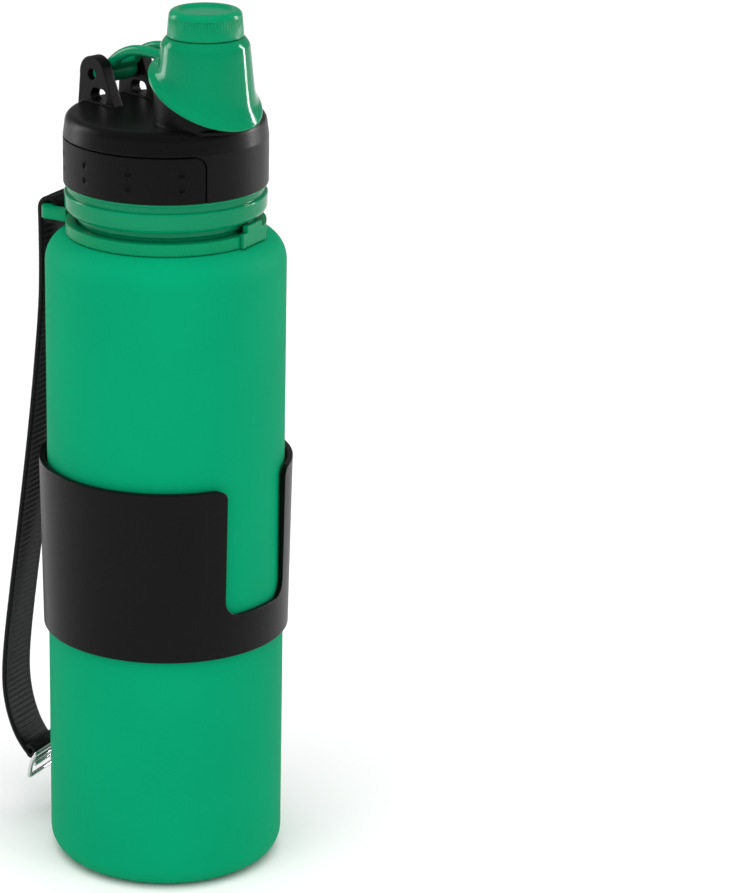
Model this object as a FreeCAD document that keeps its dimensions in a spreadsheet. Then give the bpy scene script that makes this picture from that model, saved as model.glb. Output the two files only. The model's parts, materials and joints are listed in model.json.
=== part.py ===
import FreeCAD, Part
import math
import os
import re
import Sketcher
from FreeCAD import Placement, Rotation, Vector

# A soft drinking bottle that folds flat, with a screw lid, a hinged hood over the
# drinking nozzle, a rigid sleeve and a hand strap.  Millimetres, +Z up, the origin at
# the centre of the base, the nozzle toward -Y and the hood's hinge toward +Y.

# ---------------------------------------------------------------- driving dimensions
SIZES = {
    # soft bottle
    "body_radius": 35.0,
    "body_height": 194.0,
    "body_wall": 2.2,
    "base_round": 7.0,
    "shoulder_round": 8.5,
    "neck_radius": 26.0,
    "neck_bore": 23.4,
    "neck_lip": 2.6,
    # rigid collar, glued into the soft neck
    "collar_mouth": 21.6,
    "collar_skirt": 7.0,
    "waist_radius": 25.4,
    "waist_height": 3.6,
    "flange_step": 0.2,
    "flange_height": 8.8,
    "flange_round": 1.8,
    "thread_radius": 25.4,
    "thread_height": 12.0,
    # strap ring with its loop and its catch
    "ring_radius": 29.0,
    "ring_height": 3.4,
    "ring_turn": 17.0,
    "bar_size": 3.3,
    "bar_stand": 0.6,
    "loop_side": 3.0,
    "loop_rise": 0.9,
    "catch_width": 13.0,
    "catch_height": 4.1,
    "catch_lip": 1.7,
    "lip_width": 8.0,
    "lip_height": 1.9,
    # lid
    "lid_wall": 4.1,
    "lid_height": 20.2,
    "lid_deck": 2.5,
    "lid_round": 2.8,
    "lid_taper": 0.9,
    "lid_bore": 21.0,
    "thread_fit": 0.1,
    "seat_gap": 0.05,
    "gasket_thick": 1.5,
    # grip pads let into the lid
    "pad_depth": 1.0,
    "pad_height": 13.2,
    "pad_start": 20.0,
    "pad_end": 139.0,
    "pad_corner": 3.5,
    "pad_groove": 0.5,
    "dimple_radius": 1.4,
    "dimple_depth": 0.5,
    # boss and nozzle under the hood
    "hood_offset": 16.5,
    "boss_radius": 14.5,
    "boss_inset": 1.4,
    "nozzle_radius": 7.5,
    "nozzle_bore": 4.4,
    "nozzle_top": 37.2,
    "nozzle_foot": 19.4,
    # hood
    "hood_rim": 14.9,
    "hood_neck": 12.75,
    "hood_crown": 11.3,
    "hood_height": 23.9,
    "hood_shoulder": 2.8,
    "hood_wall": 1.5,
    "hood_gap": 0.3,
    "rim_slope": 0.49,
    "rim_level": 0.4,
    "brim_radius": 16.2,
    "brim_thick": 1.3,
    # hinge
    "pivot_back": 21.3,
    "pivot_rise": 8.2,
    "pin_radius": 1.6,
    "pin_fit": 0.08,
    "barrel_radius": 3.2,
    "hinge_width": 11.4,
    "window_width": 6.6,
    "ear_gap": 0.3,
    "ear_thick": 3.4,
    "ear_round": 5.3,
    "ear_front": 10.4,
    "ear_back": 27.6,
    "ear_hole_width": 8.6,
    "ear_hole_rise": 4.0,
    "ear_hole_round": 1.7,
    # twist knob and its seal
    "knob_radius": 10.85,
    "knob_taper": 0.6,
    "knob_height": 7.4,
    "knob_round": 1.9,
    "knob_dish": 7.6,
    "dish_depth": 0.7,
    "knob_ribs": 72.0,
    "groove_radius": 0.38,
    "groove_depth": 0.25,
    "stem_radius": 6.0,
    "stem_fit": 0.1,
    "seal_thick": 1.6,
    "plug_depth": 1.0,
    "plug_fit": 0.35,
    # sleeve
    "sleeve_height": 52.0,
    "sleeve_place": 73.8,
    "sleeve_fit": 0.25,
    "sleeve_flare": 0.5,
    "sleeve_foot": 1.25,
    "sleeve_edge": 1.65,
    "sleeve_turn": 6.5,
    "notch_width": 25.6,
    "notch_depth": 39.4,
    "notch_floor_round": 5.0,
    "notch_mouth_round": 3.0,
    # strap and wire hook
    "strap_width": 14.0,
    "strap_thick": 1.6,
    "fold_gap": 0.15,
    "wire_radius": 0.65,
    "hook_play": 0.35,
}

# Heights and places that follow from the sizes.
PLACES = {
    "lid_radius": "thread_radius + lid_wall",
    "flange_radius": "lid_radius - flange_step",
    "neck_top": "body_height + neck_lip",
    "flange_foot": "neck_top + waist_height",
    "thread_foot": "flange_foot + flange_height",
    "mouth_top": "thread_foot + thread_height",
    "lid_foot": "thread_foot + seat_gap",
    "lid_top": "lid_foot + lid_height",
    "gasket_foot": "mouth_top + seat_gap",
    "lid_seat": "gasket_foot + gasket_thick + seat_gap",
    "pad_top": "lid_foot + pad_height",
    "rim_foot": "lid_top + rim_level",
    "rim_front": "0 - hood_offset - hood_rim",
    "hood_top": "rim_foot + hood_height",
    "pivot_level": "lid_top + pivot_rise",
    "ear_inside": "hinge_width / 2 + ear_gap",
    "ear_outside": "ear_inside + ear_thick",
    "nozzle_mouth": "thread_foot + nozzle_top",
    "knob_foot": "hood_top + 2 * stem_fit",
    "seal_foot": "nozzle_mouth + seat_gap",
    "seal_top": "seal_foot + seal_thick",
    "sleeve_bore": "body_radius + sleeve_fit",
    "bar_place": "body_radius + bar_stand",
    "bar_level": "body_height + loop_rise + bar_size / 2",
    "loop_half": "strap_width / 2 + 0.5",
    "loop_wide": "loop_half + loop_side",
    "fold_inside": "bar_size * 0.7072 + fold_gap",
    "hook_half": "strap_width / 2 + hook_play + wire_radius",
}

doc = FreeCAD.newDocument("FoldingBottle")
sheet = doc.addObject("Spreadsheet::Sheet", "Sizes")


def fill_sheet():
    for row, (name, number) in enumerate(SIZES.items(), start=1):
        sheet.set("A%d" % row, name)
        sheet.set("B%d" % row, str(number))
        sheet.setAlias("B%d" % row, name)
    doc.recompute()


def expression(text):
    """Spell out a formula of size and place names for the expression engine."""
    def spell(match):
        name = match.group(0)
        if name in PLACES:
            return "(" + expression(PLACES[name]) + ")"
        return "Sizes." + name if name in SIZES else name
    return re.sub(r"[a-z_]+", spell, str(text))


def value(text):
    return float(sheet.evalExpression(expression(text)))


def bind(item, **properties):
    for name, text in properties.items():
        item.setExpression(name, expression(text))
    return item


def place(item, x="0", y="0", z="0", axis=None, angle="0"):
    """Put an object at named places, turned about one axis."""
    if axis:
        item.Placement = Placement(Vector(), Rotation(axis, value(angle)))
        item.setExpression(".Placement.Rotation.Angle", expression(angle))
    for name, text in (("x", x), ("y", y), ("z", z)):
        item.setExpression(".Placement.Base." + name, expression(text))
    return item


# ---------------------------------------------------------------- sketches and features
def new_body(name):
    body = doc.addObject("PartDesign::Body", name)
    body.Label = name
    return body


def new_sketch(body, plane, offset="0", turn=None):
    sketch = body.newObject("Sketcher::SketchObject", "Sketch")
    support = [item for item in body.Origin.OriginFeatures if item.Role == plane][0]
    sketch.AttachmentSupport = [(support, "")]
    sketch.MapMode = "FlatFace"
    if turn:
        sketch.AttachmentOffset = Placement(Vector(), Rotation(Vector(0, 1, 0), value(turn)))
        sketch.setExpression(".AttachmentOffset.Rotation.Angle", expression(turn))
    sketch.setExpression(".AttachmentOffset.Base.z", expression(offset))
    return sketch


def hold(sketch, geometry, point, x, y):
    """Constrain a sketch point to a named place."""
    for kind, text in (("DistanceX", x), ("DistanceY", y)):
        number = sketch.addConstraint(Sketcher.Constraint(kind, geometry, point, value(text)))
        sketch.setExpression("Constraints[%d]" % number, expression(text))


def outline(body, plane, points, offset="0", turn=None):
    sketch = new_sketch(body, plane, offset, turn)
    corners = [Vector(value(x), value(y), 0) for x, y in points]
    count = len(points)
    for i in range(count):
        sketch.addGeometry(Part.LineSegment(corners[i], corners[(i + 1) % count]))
    for i in range(count):
        sketch.addConstraint(Sketcher.Constraint("Coincident", i, 2, (i + 1) % count, 1))
    for i, (x, y) in enumerate(points):
        hold(sketch, i, 1, x, y)
    return sketch


def disc(body, plane, x, y, radius, offset="0"):
    sketch = new_sketch(body, plane, offset)
    centre = Vector(value(x), value(y), 0)
    sketch.addGeometry(Part.Circle(centre, Vector(0, 0, 1), value(radius)))
    hold(sketch, 0, 3, x, y)
    number = sketch.addConstraint(Sketcher.Constraint("Radius", 0, value(radius)))
    sketch.setExpression("Constraints[%d]" % number, expression(radius))
    return sketch


def feature(body, kind, sketch, length=None, side="One side", reverse=False):
    """Pad or pocket a sketch; without a length a pocket goes through everything."""
    before = body.Shape.Volume if body.Tip else 0.0
    item = body.newObject("PartDesign::" + kind, kind)
    item.Profile = sketch
    item.SideType = side
    item.Reversed = reverse
    if length is None:
        item.Type = "ThroughAll"
    else:
        bind(item, Length=length)
    sketch.Visibility = False
    doc.recompute()
    change = body.Shape.Volume - before
    if (kind == "Pad") != (change > 0) or abs(change) < 1e-6:
        raise ValueError(body.Label + ": a " + kind + " changed nothing")
    return item


def turned(body, points, turn=None, sweep=None, kind="Revolution"):
    sketch = outline(body, "XZ_Plane", points, turn=turn)
    item = body.newObject("PartDesign::" + kind, kind)
    item.Profile = sketch
    item.ReferenceAxis = (sketch, ["V_Axis"])
    if sweep:
        bind(item, Angle=sweep)
    doc.recompute()
    return item


def rounded(body, base, wanted, radius):
    """Fillet the edges of base that the test picks."""
    names = ["Edge%d" % (i + 1) for i, edge in enumerate(base.Shape.Edges) if wanted(edge)]
    if not names:
        raise ValueError(body.Label + ": no edge to round")
    item = body.newObject("PartDesign::Fillet", "Fillet")
    item.Base = (base, names)
    bind(item, Radius=radius)
    doc.recompute()
    return item


def near(a, b):
    return abs(a - b) < 0.001


def hoop(radius, level):
    """Test for a circle about the axis of a turned piece."""
    def wanted(edge):
        curve = edge.Curve
        return (isinstance(curve, Part.Circle) and near(curve.Radius, value(radius))
                and near(curve.Center.z, value(level)))
    return wanted


def upright(x, y):
    """Test for a straight edge along Z at x or -x."""
    def wanted(edge):
        if not isinstance(edge.Curve, Part.Line) or not near(abs(edge.Curve.Direction.z), 1):
            return False
        end = edge.Vertexes[0].Point
        return near(abs(end.x), value(x)) and near(end.y, value(y))
    return wanted


def radial(*levels):
    """Test for a straight level edge at one of the heights that runs toward the axis."""
    def wanted(edge):
        if not isinstance(edge.Curve, Part.Line):
            return False
        ends = [end.Point for end in edge.Vertexes]
        flat = near(ends[0].z, ends[1].z)
        return flat and any(near(ends[0].z, value(level)) for level in levels)
    return wanted


def solid(kind, name, **sizes):
    return bind(doc.addObject("Part::" + kind, name), **sizes)


def fuse(name, items):
    whole = doc.addObject("Part::MultiFuse", name)
    whole.Shapes = items
    whole.Label = name
    return whole


def cut(name, base, tool):
    rest = doc.addObject("Part::Cut", name)
    rest.Base = base
    rest.Tool = tool
    rest.Label = name
    return rest


def common(name, first, second):
    both = doc.addObject("Part::MultiCommon", name)
    both.Shapes = [first, second]
    return both


# ---------------------------------------------------------------- bottle and neck
def silicone_body():
    body = new_body("silicone_body")
    inside = "body_radius - body_wall"
    ceiling = "body_height - body_wall"
    shell = turned(body, [
        ("0", "0"), ("body_radius", "0"), ("body_radius", "body_height"),
        ("neck_radius", "body_height"), ("neck_radius", "neck_top"),
        ("neck_bore", "neck_top"), ("neck_bore", ceiling), (inside, ceiling),
        (inside, "body_wall"), ("0", "body_wall")])
    rounds = [
        ("body_radius", "0", "base_round"),
        (inside, "body_wall", "base_round - body_wall"),
        ("body_radius", "body_height", "shoulder_round"),
        (inside, ceiling, "shoulder_round - body_wall")]
    for radius, level, size in rounds:
        shell = rounded(body, shell, hoop(radius, level), size)
    return body


def neck_collar():
    body = new_body("neck_collar")
    ring = turned(body, [
        ("collar_mouth", "neck_top - collar_skirt"), ("neck_bore", "neck_top - collar_skirt"),
        ("neck_bore", "neck_top"), ("waist_radius", "neck_top"),
        ("waist_radius", "flange_foot"), ("flange_radius", "flange_foot"),
        ("flange_radius", "thread_foot"), ("thread_radius", "thread_foot"),
        ("thread_radius", "mouth_top"), ("collar_mouth", "mouth_top")])
    rounded(body, ring, hoop("flange_radius", "flange_foot"), "flange_round")
    return body


def strap_ring():
    """Ring on the shoulder, with the strap's loop behind and the hook's catch in front."""
    body = new_body("strap_ring")
    turned(body, [
        ("neck_radius", "body_height"), ("ring_radius", "body_height"),
        ("ring_radius", "body_height + ring_height"),
        ("neck_radius", "body_height + ring_height")])
    reach = "bar_place + bar_size / 2"
    root = "ring_radius - 1.5"
    frame = outline(body, "XY_Plane", [
        ("0 - loop_wide", root), ("loop_wide", root), ("loop_wide", reach),
        ("0 - loop_wide", reach)], offset="body_height + loop_rise")
    loop = feature(body, "Pad", frame, "bar_size")
    rounded(body, loop, upright("loop_wide", reach), "loop_side")
    opening = outline(body, "XY_Plane", [
        ("0 - loop_half", "ring_radius + 0.4"), ("loop_half", "ring_radius + 0.4"),
        ("loop_half", "bar_place - bar_size / 2"), ("0 - loop_half", "bar_place - bar_size / 2")],
        offset="body_height + loop_rise + bar_size")
    feature(body, "Pocket", opening, "2 * bar_size")
    face = "0 - ring_radius - 0.5"
    block = outline(body, "XY_Plane", [
        ("0 - catch_width / 2", face), ("catch_width / 2", face),
        ("catch_width / 2", "0.5 - ring_radius"), ("0 - catch_width / 2", "0.5 - ring_radius")],
        offset="body_height")
    feature(body, "Pad", block, "catch_height")
    lip = outline(body, "XY_Plane", [
        ("0 - lip_width / 2", face), ("lip_width / 2", face),
        ("lip_width / 2", face + " + catch_lip"), ("0 - lip_width / 2", face + " + catch_lip")],
        offset="body_height")
    feature(body, "Pad", lip, "catch_height + lip_height")
    return place(body, axis=Vector(0, 0, 1), angle="ring_turn")


# ---------------------------------------------------------------- lid
def pad_place(side, share):
    """Angle from the nozzle along a pad; the right pad is the left one turned half round."""
    return "%s + (pad_end - pad_start) * %s" % (
        "180 - pad_end" if side > 0 else "0 - pad_end", share)


def pad_block(name, side, depth, reach, foot, top, spread, corner):
    """A curved block on the lid's wall: a grip pad, or the recess that holds it."""
    body = new_body(name)
    start = pad_place(side, "0") + " - 90 - " + spread
    block = turned(body, [(depth, foot), (reach, foot), (reach, top), (depth, top)],
                   turn=start, sweep="pad_end - pad_start + 2 * " + spread)
    rounded(body, block, radial(top), corner)
    return body


def grip_pad(name, side):
    block = pad_block(name + "_block", side, "lid_radius - pad_depth", "lid_radius",
                      "lid_foot", "pad_top", "0", "pad_corner")
    dimples = []
    for column in range(4):
        for row in range(2):
            dent = solid("Sphere", name + "_dimple", Radius="dimple_radius")
            turn = "(" + pad_place(side, "(%d + 0.55) / 4" % column) + ")"
            out = "(lid_radius + dimple_radius - dimple_depth)"
            place(dent, out + " * sin(" + turn + ")", "0 - " + out + " * cos(" + turn + ")",
                  "lid_foot + pad_height * (%d + 1) / 3" % row)
            dimples.append(dent)
    return cut(name, block, fuse(name + "_dimples", dimples))


def lid_shell():
    body = new_body("lid_block")
    skirt = "thread_radius + thread_fit"
    deck = "lid_top - lid_deck"
    shell = turned(body, [
        (skirt, "lid_foot"), ("lid_radius", "lid_foot"), ("lid_radius", "pad_top + pad_groove"),
        ("lid_radius - lid_taper", "lid_top"),
        ("0", "lid_top"), ("0", deck), ("lid_bore", deck), ("lid_bore", "lid_seat"),
        (skirt, "lid_seat")])
    rounded(body, shell, hoop("lid_radius - lid_taper", "lid_top"), "lid_round")

    # slanted boss that carries the nozzle and closes the hood
    boss = disc(body, "XY_Plane", "0", "0 - hood_offset", "boss_radius", offset="lid_top - 1")
    feature(body, "Pad", boss, "hood_height")
    front = "0 - hood_offset - 2 * boss_radius"
    back = "2 * boss_radius - hood_offset"
    level = "rim_foot - hood_gap + rim_slope * (%s - rim_front)"
    over = outline(body, "YZ_Plane", [
        (front, level % ("(" + front + ")")), (back, level % ("(" + back + ")")),
        (back, "hood_top + 10"), (front, "hood_top + 10")])
    feature(body, "Pocket", over, "4 * lid_radius", side="Symmetric")
    turned(body, [
        ("lid_radius - boss_inset", "lid_top"), ("2 * lid_radius", "lid_top"),
        ("2 * lid_radius", "hood_top + 10"), ("lid_radius - boss_inset", "hood_top + 10")],
        kind="Groove")
    seat = disc(body, "XY_Plane", "0", "0 - hood_offset", "nozzle_radius", offset="hood_top")
    feature(body, "Pocket", seat, "hood_top - thread_foot - nozzle_foot")
    bore = disc(body, "XY_Plane", "0", "0 - hood_offset", "nozzle_bore", offset="hood_top")
    feature(body, "Pocket", bore)

    ears = [ear(side) for side in (-1, 1)]
    recesses = [pad_block("recess", side, "lid_radius - pad_depth", "lid_radius + 1",
                          "lid_foot - 1", "pad_top + pad_groove", "1",
                          "pad_corner + pad_groove") for side in (-1, 1)]
    whole = fuse("lid_whole", [body] + ears)
    return cut("lid_shell", whole, fuse("recesses", recesses))


def ear(side):
    """Bridge-shaped plate with the pivot hole above a wide window."""
    body = new_body("ear")
    foot = "lid_top - lid_round"
    wide = "ear_round * 0.95"
    high = "pivot_level + ear_round * 0.31"
    inside = "ear_inside" if side > 0 else "0 - ear_outside"
    plate = outline(body, "YZ_Plane", [
        ("ear_front", foot), ("ear_back", foot),
        ("pivot_back + " + wide, high), ("pivot_back - " + wide, high)], offset=inside)
    feature(body, "Pad", plate, "ear_thick")
    crown = disc(body, "YZ_Plane", "pivot_back", "pivot_level", "ear_round", offset=inside)
    feature(body, "Pad", crown, "ear_thick")
    hole = disc(body, "YZ_Plane", "pivot_back", "pivot_level", "pin_radius + pin_fit",
                offset=inside)
    feature(body, "Pocket", hole, "ear_thick", reverse=True)
    half = "ear_hole_width / 2"
    middle = "(ear_front + ear_back) / 2 - 0.6"
    window = outline(body, "YZ_Plane", [
        (middle + " - " + half, "lid_top + 0.5"), (middle + " + " + half, "lid_top + 0.5"),
        (middle + " + 0.6 * " + half, "lid_top + 0.5 + ear_hole_rise"),
        (middle + " - 0.6 * " + half, "lid_top + 0.5 + ear_hole_rise")], offset=inside)
    opening = feature(body, "Pocket", window, "ear_thick", reverse=True)

    def corner(edge):
        ends = [end.Point for end in edge.Vertexes]
        low = value("lid_top + 0.4")
        high = value("lid_top + 0.6 + ear_hole_rise")
        inner = abs(ends[0].y - value(middle)) < value("ear_hole_width") / 2 + 0.1
        return (len(ends) == 2 and near(ends[0].y, ends[1].y) and near(ends[0].z, ends[1].z)
                and low < ends[0].z < high and inner)
    rounded(body, opening, corner, "ear_hole_round")
    return body


def lid_gasket():
    body = new_body("lid_gasket")
    turned(body, [
        ("collar_mouth + 0.2", "gasket_foot"), ("thread_radius - 0.2", "gasket_foot"),
        ("thread_radius - 0.2", "gasket_foot + gasket_thick"),
        ("collar_mouth + 0.2", "gasket_foot + gasket_thick")])
    return body


def spout_nozzle():
    body = new_body("spout_nozzle")
    foot = "thread_foot + nozzle_foot"
    tube = turned(body, [
        ("nozzle_bore", foot), ("nozzle_radius", foot), ("nozzle_radius", "nozzle_mouth"),
        ("nozzle_bore", "nozzle_mouth")])
    rounded(body, tube, hoop("nozzle_radius", "nozzle_mouth"), "0.8")
    return place(body, y="0 - hood_offset")


# ---------------------------------------------------------------- hood
def hood():
    """Bell over the nozzle with a slanted brim, two arms and a pivot barrel."""
    bell = new_body("bell")
    crown_inside = "hood_top - hood_wall"
    shell = turned(bell, [
        ("hood_rim", "rim_foot"), ("hood_neck", "hood_top - hood_shoulder"),
        ("hood_crown", "hood_top"), ("stem_radius + stem_fit", "hood_top"),
        ("stem_radius + stem_fit", crown_inside), ("hood_crown - hood_wall", crown_inside),
        ("hood_neck - hood_wall", "hood_top - hood_shoulder - 0.6"),
        ("hood_rim - hood_wall", "rim_foot")])
    rounded(bell, shell, hoop("hood_neck", "hood_top - hood_shoulder"), "2")
    reach = "2 * brim_radius"
    low = "rim_foot + rim_slope * (hood_rim - %s)" % ("(" + reach + ")")
    high = "rim_foot + rim_slope * (hood_rim + %s)" % ("(" + reach + ")")
    under = outline(bell, "YZ_Plane", [
        ("0 - " + reach, low), ("0 - " + reach, low + " - 60"), (reach, low + " - 60"),
        (reach, high)])
    feature(bell, "Pocket", under, "4 * brim_radius", side="Symmetric")
    place(bell, y="0 - hood_offset")

    slab = new_body("brim_slab")
    sheet_outline = outline(slab, "YZ_Plane", [
        ("0 - " + reach, low), (reach, high), (reach, high + " + brim_thick"),
        ("0 - " + reach, low + " + brim_thick")])
    feature(slab, "Pad", sheet_outline, "4 * brim_radius", side="Symmetric")
    place(slab, y="0 - hood_offset")
    inner = "hood_rim - hood_wall / 2 - 0.6"
    tall = "hood_top - lid_foot"
    disc_out = place(solid("Cylinder", "brim_disc", Radius="brim_radius", Height=tall),
                     y="0 - hood_offset", z="lid_foot")
    disc_in = place(solid("Cylinder", "brim_hole", Radius=inner, Height=tall),
                    y="0 - hood_offset", z="lid_foot")
    brim = common("brim", cut("brim_ring", disc_out, disc_in), slab)
    return fuse("hood", [bell, brim, hood_arms()] + hinge_pins())


def hood_arms():
    """Two arched arms joined at the barrel, with an open window between them."""
    arms = new_body("arms")
    root = "rim_foot + rim_slope * (hood_offset + hood_rim - 5)"
    behind = "boss_radius - hood_offset + 0.6"
    ledge = "rim_foot + rim_slope * (boss_radius + hood_rim + 0.6)"
    side_view = outline(arms, "YZ_Plane", [
        ("0 - 5", root), (behind, ledge), ("5", "pivot_level + 6.4"),
        ("11.5", "pivot_level + 5.2"),
        ("pivot_back - 5", "pivot_level + 2.2"), ("pivot_back", "pivot_level"),
        ("pivot_back + 2.2", "pivot_level + 2.2"), ("pivot_back - 1.3", "pivot_level + 5.4"),
        ("14.3", "pivot_level + 8.6"), ("6", "pivot_level + 10.4"), ("0 - 5", "pivot_level + 10.8")])
    feature(arms, "Pad", side_view, "hinge_width", side="Symmetric")
    half = "window_width / 2"
    window = outline(arms, "XY_Plane", [
        ("0 - " + half, "1.5"), (half, "1.5"), (half, "pivot_back - barrel_radius - 1.2"),
        ("0 - " + half, "pivot_back - barrel_radius - 1.2")], offset="hood_top + 5")
    feature(arms, "Pocket", window)
    return arms


def hinge_pins():
    along = Vector(0, 1, 0)
    barrel = solid("Cylinder", "barrel", Radius="barrel_radius", Height="hinge_width")
    place(barrel, "0 - hinge_width / 2", "pivot_back", "pivot_level", along, "90")
    pin = solid("Cylinder", "pin", Radius="pin_radius", Height="2 * ear_outside - 0.4")
    place(pin, "0.2 - ear_outside", "pivot_back", "pivot_level", along, "90")
    return [barrel, pin]


def twist_knob():
    cap = new_body("knob_cap")
    top = "knob_foot + knob_height"
    shape = turned(cap, [
        ("0", "seal_top"), ("stem_radius", "seal_top"), ("stem_radius", "knob_foot"),
        ("knob_radius", "knob_foot"), ("knob_radius - knob_taper", top), ("knob_dish", top),
        ("knob_dish - dish_depth", top + " - dish_depth"), ("0", top + " - dish_depth")])
    rounded(cap, shape, hoop("knob_radius - knob_taper", top), "knob_round")
    # the grooves between the ribs lean in more than the wall, so they fade out downward
    grooves = []
    lean = "atan((knob_taper + groove_depth) / knob_height)"
    for i in range(int(SIZES["knob_ribs"])):
        groove = solid("Cylinder", "groove", Radius="groove_radius",
                       Height="knob_height - knob_round")
        turn = "(360 / knob_ribs * %d)" % i
        tangent = Vector(math.cos(math.radians(value(turn))), -math.sin(math.radians(value(turn))), 0)
        place(groove, "(knob_radius + groove_radius) * sin(%s)" % turn,
              "(knob_radius + groove_radius) * cos(%s)" % turn, "knob_foot", tangent, lean)
        grooves.append(groove)
    knob = cut("twist_knob", cap, fuse("grooves", grooves))
    return place(knob, y="0 - hood_offset")


def knob_seal():
    body = new_body("knob_seal")
    plug = "nozzle_bore - plug_fit"
    turned(body, [
        ("0", "seal_foot - plug_depth"), (plug, "seal_foot - plug_depth"),
        (plug, "seal_foot"), ("stem_radius - 0.3", "seal_foot"),
        ("stem_radius - 0.3", "seal_top"), ("0", "seal_top")])
    return place(body, y="0 - hood_offset")


# ---------------------------------------------------------------- sleeve
def sleeve():
    """Rigid band round the bottle with a deep notch in front."""
    body = new_body("sleeve")
    rim = "sleeve_bore + sleeve_flare"
    turned(body, [
        ("sleeve_bore", "0"), ("sleeve_bore + sleeve_foot", "0"),
        (rim + " + sleeve_edge", "sleeve_height"), (rim, "sleeve_height")])
    half = "notch_width / 2"
    floor = "sleeve_height - notch_depth"
    notch = outline(body, "XZ_Plane", [
        ("0 - " + half, floor), (half, floor), (half, "sleeve_height + 1"),
        ("0 - " + half, "sleeve_height + 1")])
    opening = feature(body, "Pocket", notch, "2 * body_radius", reverse=True)

    def corner(level):
        def wanted(edge):
            ends = [end.Point for end in edge.Vertexes]
            return len(ends) == 2 and edge.Length < 6 and all(
                near(abs(p.x), value(half)) and near(p.z, value(level)) for p in ends)
        return wanted
    opening = rounded(body, opening, corner(floor), "notch_floor_round")
    rounded(body, opening, corner("sleeve_height"), "notch_mouth_round")
    return place(body, z="sleeve_place", axis=Vector(0, 0, 1), angle="sleeve_turn")


# ---------------------------------------------------------------- strap and wire hook
# The hang of the strap: how far its middle stands out past the bottle's wall, and how
# far below the shoulder, point by point from the loop down.
HANG = [(3.7, 6.0), (3.8, 22.0), (4.8, 35.0), (7.8, 62.0), (11.6, 90.0), (15.6, 117.0),
        (18.5, 138.0), (19.6, 151.0), (18.8, 160.0), (16.3, 168.0), (12.6, 173.5)]
FOLD = (9.9, 174.2)
HOOK = [(9.9, 174.2), (8.4, 177.6), (9.4, 181.9)]
HOOK_BOW = 0.9


def strap_point(point, x=0.0):
    return Vector(x, value("body_radius") + point[0], value("body_height") - point[1])


def tangent_arcs(points):
    """Runs joined by tangent arcs, each as a list of places with the way of travel."""
    ways = [(b - a).normalize() for a, b in zip(points, points[1:])]
    runs = []
    start = points[0]
    for i in range(1, len(points) - 1):
        corner = points[i]
        reach = 0.45 * min((corner - points[i - 1]).Length, (points[i + 1] - corner).Length)
        before = corner - ways[i - 1] * reach
        after = corner + ways[i] * reach
        inward = (ways[i] - ways[i - 1]).normalize()
        half = ways[i].getAngle(ways[i - 1]) / 2
        depth = reach * math.tan(half / 2)
        middle = corner + inward * depth
        runs.append([(start, ways[i - 1]), (before, ways[i - 1])])
        runs.append([(before, ways[i - 1]), (middle, (ways[i - 1] + ways[i]).normalize()),
                     (after, ways[i])])
        start = after
    runs.append([(start, ways[-1]), (points[-1], ways[-1])])
    return runs


def ribbon(points, thick, across):
    """Flat web of one thickness along a line in the YZ plane."""
    runs = tangent_arcs(points)
    sides = []
    for shift in (thick / 2, -thick / 2):
        edges = []
        for run in runs:
            places = [at + Vector(0, -way.z, way.y) * shift for at, way in run]
            if len(places) == 2:
                edges.append(Part.LineSegment(*places).toShape())
            else:
                edges.append(Part.Arc(*places).toShape())
        sides.append(edges)
    ends = []
    for last, index in ((False, 0), (True, -1)):
        corners = [edges[index].Vertexes[-1 if last else 0].Point for edges in sides]
        ends.append(Part.LineSegment(*corners).toShape())
    loop = Part.Wire(Part.__sortEdges__(sides[0] + sides[1] + ends))
    return Part.Face(loop).extrude(across)


def eyelet(centre, inside, thick, across):
    along = Vector(1, 0, 0)
    outer = Part.makeCylinder(inside + thick, across.Length, centre, along)
    return outer.cut(Part.makeCylinder(inside, across.Length, centre, along))


def strap():
    """Webbing sewn round the loop's bar, hanging free, folded round the hook's wire."""
    thick = value("strap_thick")
    across = Vector(value("strap_width"), 0, 0)
    edge = -across.x / 2
    bar = Vector(edge, value("bar_place"), value("bar_level"))
    fold = strap_point(FOLD, edge)
    fold_inside = value("wire_radius + fold_gap")
    points = [bar + Vector(0, value("fold_inside") + thick / 2, 0)]
    points += [strap_point(point, edge) for point in HANG]
    points.append(fold - Vector(0, 0, fold_inside + thick / 2))
    web = ribbon(points, thick, across)
    loops = [eyelet(bar, value("fold_inside"), thick, across),
             eyelet(fold, fold_inside, thick, across)]
    shape = web.fuse(loops)
    for centre, inside in ((bar, value("fold_inside")), (fold, fold_inside)):
        shape = shape.cut(Part.makeCylinder(inside, across.Length, centre, Vector(1, 0, 0)))
    return finished("strap", shape)


def wire_hook():
    """Bent wire: a bar in the strap's fold, a bar in the middle and a free bar below."""
    radius = value("wire_radius")
    half = value("hook_half")
    bars = [strap_point(point) for point in HOOK]
    pieces = []
    for at in bars:
        left = at - Vector(half, 0, 0)
        pieces.append(Part.makeCylinder(radius, 2 * half, left, Vector(1, 0, 0)))
    for side in (-half, half):
        for first, second in zip(bars, bars[1:]):
            start = first + Vector(side, 0, 0)
            end = second + Vector(side, 0, 0)
            middle = (start + end) * 0.5 - Vector(0, HOOK_BOW, 0)
            path = Part.Wire([Part.Arc(start, middle, end).toShape()])
            way = path.Edges[0].tangentAt(path.Edges[0].FirstParameter)
            ring = Part.Wire([Part.Circle(start, way, radius).toShape()])
            pieces.append(path.makePipeShell([ring], True, True))
        pieces += [Part.makeSphere(radius, at + Vector(side, 0, 0)) for at in bars]
    return finished("wire_hook", pieces[0].fuse(pieces[1:]))


def finished(name, shape):
    item = doc.addObject("Part::Feature", name)
    item.Shape = shape
    item.Label = name
    return place(item, axis=Vector(0, 0, 1), angle="ring_turn")


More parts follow.
